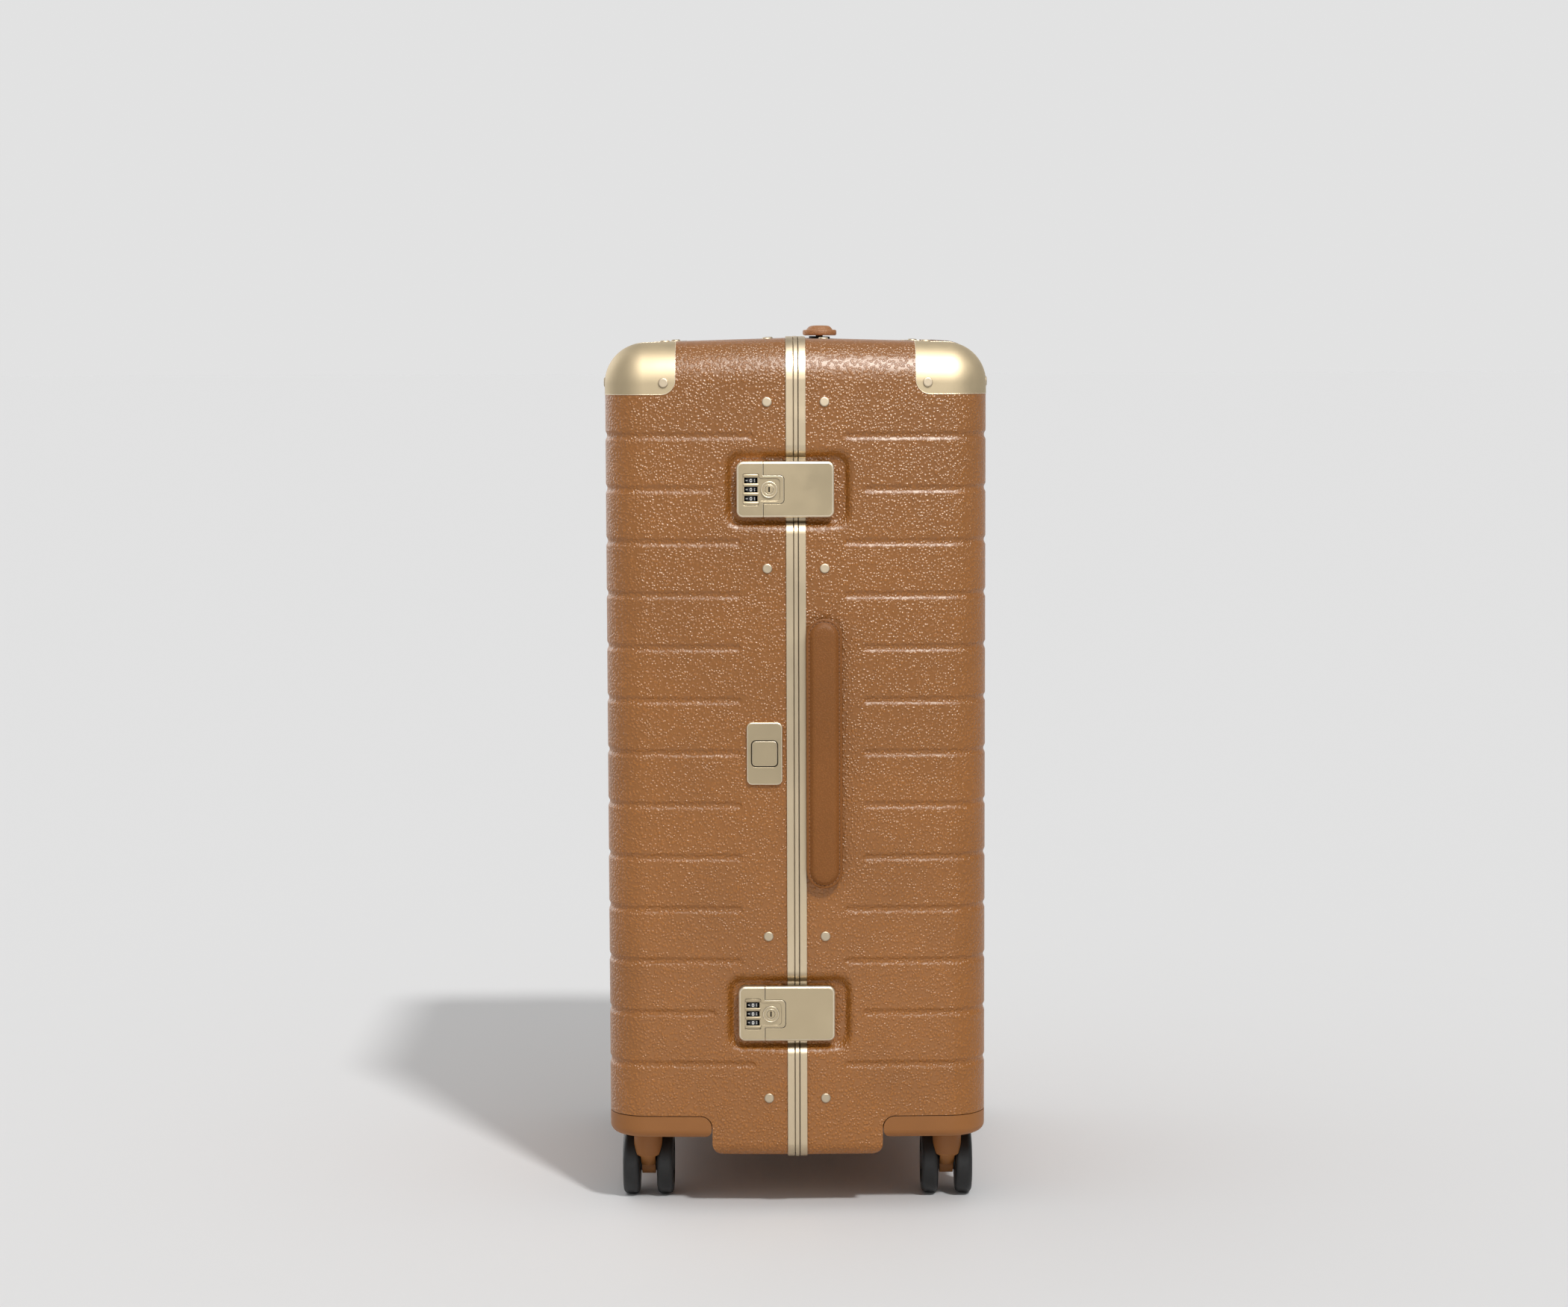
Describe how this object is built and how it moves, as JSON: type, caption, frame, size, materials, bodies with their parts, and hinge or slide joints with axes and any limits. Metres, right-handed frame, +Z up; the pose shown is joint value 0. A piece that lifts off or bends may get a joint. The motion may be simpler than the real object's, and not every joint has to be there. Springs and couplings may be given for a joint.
{
  "type": "trunk suitcase",
  "caption": "Tall hard-shell trunk suitcase with a metal seam frame, combination latches, metal top corners, sliding carrying handles, a sunk pull handle and twin-wheel casters.",
  "frame": {"origin": "on the floor under the middle of the whole case, standing on its casters", "axes": "+X from the lid half to the base half, -Y towards the latch side, +Z up"},
  "size_m": [0.3454, 0.4404, 0.8003],
  "materials": {
    "shell": "brown leather-grain film over hard plastic, satin",
    "housing": "smooth brown moulded plastic",
    "metal": "champagne anodised, satin",
    "tyre": "matt black",
    "dial": "black with white figures",
    "leather": "brown smooth leather",
    "steel": "plain",
    "trim": "dark plastic",
    "lining": "woven cloth"
  },
  "bodies": {
    "base": {"base_shell": "shell", "base_frame": "metal", "base_rivets": "metal", "corner_cap_base_front": "metal", "corner_cap_base_rear": "metal", "wheel_housing_base_front": "housing", "wheel_housing_base_rear": "housing", "flap_bracket_upper": "metal", "flap_bracket_lower": "metal", "handle_guides": "trim", "pull_cup": "trim", "pull_guide_tubes": "steel", "base_hinge_leaves": "metal", "base_lining": "lining"},
    "lid": {"lid_shell": "shell", "lid_frame": "metal", "frame_bead": "metal", "lid_rivets": "metal", "corner_cap_lid_front": "metal", "corner_cap_lid_rear": "metal", "wheel_housing_lid_front": "housing", "wheel_housing_lid_rear": "housing", "lock_body_upper": "metal", "lock_body_lower": "metal", "catch_plate": "metal", "lid_hinge_leaves": "metal", "lid_lining": "lining"},
    "caster_lid_front": {"caster_fork_lid_front": "housing", "caster_axle_lid_front": "steel"},
    "wheel_lid_front_outer": {"wheel_lid_front_outer": "tyre"},
    "wheel_lid_front_inner": {"wheel_lid_front_inner": "tyre"},
    "caster_lid_rear": {"caster_fork_lid_rear": "housing", "caster_axle_lid_rear": "steel"},
    "wheel_lid_rear_outer": {"wheel_lid_rear_outer": "tyre"},
    "wheel_lid_rear_inner": {"wheel_lid_rear_inner": "tyre"},
    "caster_base_front": {"caster_fork_base_front": "housing", "caster_axle_base_front": "steel"},
    "wheel_base_front_outer": {"wheel_base_front_outer": "tyre"},
    "wheel_base_front_inner": {"wheel_base_front_inner": "tyre"},
    "caster_base_rear": {"caster_fork_base_rear": "housing", "caster_axle_base_rear": "steel"},
    "wheel_base_rear_outer": {"wheel_base_rear_outer": "tyre"},
    "wheel_base_rear_inner": {"wheel_base_rear_inner": "tyre"},
    "dial_upper_1": {"dial_upper_1": "dial"},
    "dial_upper_2": {"dial_upper_2": "dial"},
    "dial_upper_3": {"dial_upper_3": "dial"},
    "key_cylinder_upper": {"key_cylinder_upper": "metal"},
    "latch_flap_upper": {"latch_flap_upper": "metal"},
    "dial_lower_1": {"dial_lower_1": "dial"},
    "dial_lower_2": {"dial_lower_2": "dial"},
    "dial_lower_3": {"dial_lower_3": "dial"},
    "key_cylinder_lower": {"key_cylinder_lower": "metal"},
    "latch_flap_lower": {"latch_flap_lower": "metal"},
    "catch_button": {"catch_button": "metal"},
    "side_handle": {"side_handle": "leather"},
    "top_handle": {"top_handle": "leather"},
    "pull_handle": {"pull_rods": "steel", "pull_grip": "trim"},
    "pull_button": {"pull_button": "metal"}
  },
  "joints": [
    {"name": "lid_hinge", "type": "hinge", "parent": "base", "child": "lid", "pos_m": [0, 0.217, 0.4184], "axis": [0, 0, -1], "range_deg": [0, 180]},
    {"name": "caster_lid_front_swivel", "type": "hinge", "parent": "lid", "child": "caster_lid_front", "pos_m": [-0.1375, -0.1586, 0.068], "axis": [0, 0, 1], "continuous": true},
    {"name": "wheel_lid_front_outer_roll", "type": "hinge", "parent": "caster_lid_front", "child": "wheel_lid_front_outer", "pos_m": [-0.1375, -0.1386, 0.03], "axis": [1, 0, 0], "continuous": true},
    {"name": "wheel_lid_front_inner_roll", "type": "hinge", "parent": "caster_lid_front", "child": "wheel_lid_front_inner", "pos_m": [-0.1375, -0.1386, 0.03], "axis": [1, 0, 0], "continuous": true},
    {"name": "caster_lid_rear_swivel", "type": "hinge", "parent": "lid", "child": "caster_lid_rear", "pos_m": [-0.1375, 0.1614, 0.068], "axis": [0, 0, 1], "continuous": true},
    {"name": "wheel_lid_rear_outer_roll", "type": "hinge", "parent": "caster_lid_rear", "child": "wheel_lid_rear_outer", "pos_m": [-0.1375, 0.1814, 0.03], "axis": [1, 0, 0], "continuous": true},
    {"name": "wheel_lid_rear_inner_roll", "type": "hinge", "parent": "caster_lid_rear", "child": "wheel_lid_rear_inner", "pos_m": [-0.1375, 0.1814, 0.03], "axis": [1, 0, 0], "continuous": true},
    {"name": "caster_base_front_swivel", "type": "hinge", "parent": "base", "child": "caster_base_front", "pos_m": [0.1375, -0.1586, 0.068], "axis": [0, 0, 1], "continuous": true},
    {"name": "wheel_base_front_outer_roll", "type": "hinge", "parent": "caster_base_front", "child": "wheel_base_front_outer", "pos_m": [0.1375, -0.1386, 0.03], "axis": [1, 0, 0], "continuous": true},
    {"name": "wheel_base_front_inner_roll", "type": "hinge", "parent": "caster_base_front", "child": "wheel_base_front_inner", "pos_m": [0.1375, -0.1386, 0.03], "axis": [1, 0, 0], "continuous": true},
    {"name": "caster_base_rear_swivel", "type": "hinge", "parent": "base", "child": "caster_base_rear", "pos_m": [0.1375, 0.1614, 0.068], "axis": [0, 0, 1], "continuous": true},
    {"name": "wheel_base_rear_outer_roll", "type": "hinge", "parent": "caster_base_rear", "child": "wheel_base_rear_outer", "pos_m": [0.1375, 0.1814, 0.03], "axis": [1, 0, 0], "continuous": true},
    {"name": "wheel_base_rear_inner_roll", "type": "hinge", "parent": "caster_base_rear", "child": "wheel_base_rear_inner", "pos_m": [0.1375, 0.1814, 0.03], "axis": [1, 0, 0], "continuous": true},
    {"name": "dial_upper_1_turn", "type": "hinge", "parent": "lid", "child": "dial_upper_1", "pos_m": [-0.04, -0.2037, 0.64683], "axis": [0, 0, 1], "continuous": true},
    {"name": "dial_upper_2_turn", "type": "hinge", "parent": "lid", "child": "dial_upper_2", "pos_m": [-0.04, -0.2037, 0.6549], "axis": [0, 0, 1], "continuous": true},
    {"name": "dial_upper_3_turn", "type": "hinge", "parent": "lid", "child": "dial_upper_3", "pos_m": [-0.04, -0.2037, 0.66297], "axis": [0, 0, 1], "continuous": true},
    {"name": "key_cylinder_upper_turn", "type": "hinge", "parent": "lid", "child": "key_cylinder_upper", "pos_m": [-0.0238, -0.2106, 0.6549], "axis": [0, 1, 0], "range_deg": [0, 90]},
    {"name": "latch_flap_upper_swing", "type": "hinge", "parent": "base", "child": "latch_flap_upper", "pos_m": [0.0307, -0.2071, 0.6549], "axis": [0, 0, 1], "range_deg": [0, 100]},
    {"name": "dial_lower_1_turn", "type": "hinge", "parent": "lid", "child": "dial_lower_1", "pos_m": [-0.04, -0.2037, 0.17383], "axis": [0, 0, 1], "continuous": true},
    {"name": "dial_lower_2_turn", "type": "hinge", "parent": "lid", "child": "dial_lower_2", "pos_m": [-0.04, -0.2037, 0.1819], "axis": [0, 0, 1], "continuous": true},
    {"name": "dial_lower_3_turn", "type": "hinge", "parent": "lid", "child": "dial_lower_3", "pos_m": [-0.04, -0.2037, 0.18997], "axis": [0, 0, 1], "continuous": true},
    {"name": "key_cylinder_lower_turn", "type": "hinge", "parent": "lid", "child": "key_cylinder_lower", "pos_m": [-0.0238, -0.2106, 0.1819], "axis": [0, 1, 0], "range_deg": [0, 90]},
    {"name": "latch_flap_lower_swing", "type": "hinge", "parent": "base", "child": "latch_flap_lower", "pos_m": [0.0307, -0.2071, 0.1819], "axis": [0, 0, 1], "range_deg": [0, 100]},
    {"name": "catch_button_press", "type": "slide", "parent": "lid", "child": "catch_button", "axis": [0.0279, 0.9996, 0], "range_m": [0, 0.0025], "stiffness_N_per_m": 400},
    {"name": "side_handle_slide", "type": "slide", "parent": "base", "child": "side_handle", "axis": [0, -1, 0], "range_m": [0, 0.022]},
    {"name": "top_handle_slide", "type": "slide", "parent": "base", "child": "top_handle", "axis": [0, 0, 1], "range_m": [0, 0.022]},
    {"name": "pull_handle_slide", "type": "slide", "parent": "base", "child": "pull_handle", "axis": [0, 0, 1], "range_m": [0, 0.3]},
    {"name": "pull_button_press", "type": "slide", "parent": "pull_handle", "child": "pull_button", "axis": [0, 0, -1], "range_m": [0, 0.003], "stiffness_N_per_m": 400}
  ]
}
